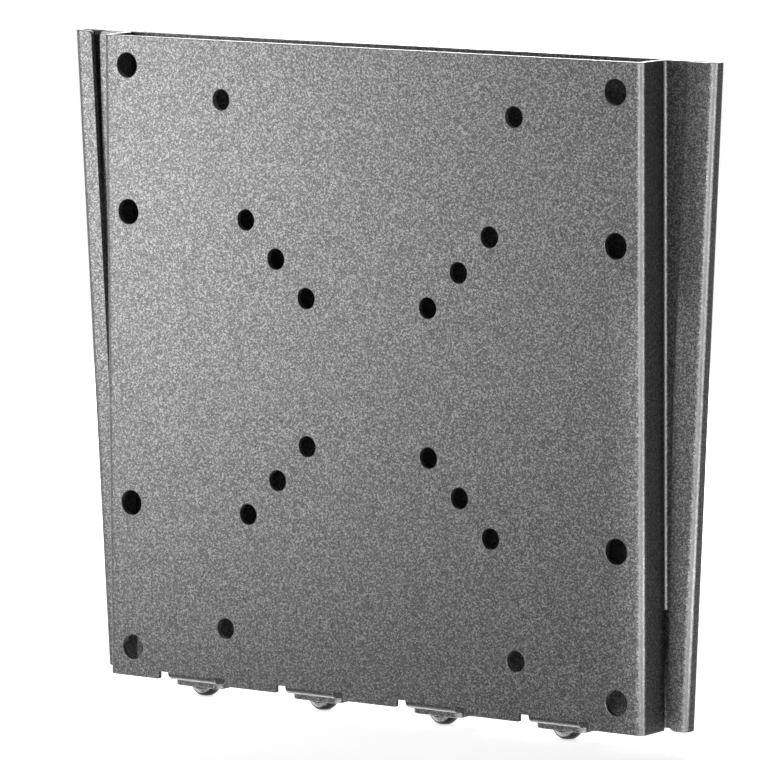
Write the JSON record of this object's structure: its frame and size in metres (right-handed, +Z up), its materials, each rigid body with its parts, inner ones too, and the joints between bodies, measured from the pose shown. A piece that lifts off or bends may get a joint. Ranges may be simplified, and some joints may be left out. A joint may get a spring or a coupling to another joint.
{
  "type": "tv wall mount",
  "caption": "Flat wall mount for a television: a folded plate with hole patterns drops into the slanted lips of a folded wall plate and is locked by screws along the foot.",
  "frame": {"origin": "centre of the wall plate's back face, which lies on the wall", "axes": "+X to the right as seen from the television side, +Y into the wall, +Z up"},
  "size_m": [0.263, 0.0175, 0.2253],
  "materials": {
    "powder_coat_wall": "fine metallic powder coat, dark silver",
    "powder_coat_tv": "fine metallic powder coat, dark silver",
    "dark_steel": "polished dark plated steel"
  },
  "bodies": {
    "root": {"wall_plate": "powder_coat_wall", "tv_plate": "powder_coat_tv", "lock_screw_1": "dark_steel", "lock_screw_2": "dark_steel", "lock_screw_3": "dark_steel", "lock_screw_4": "dark_steel"}
  },
  "joints": []
}
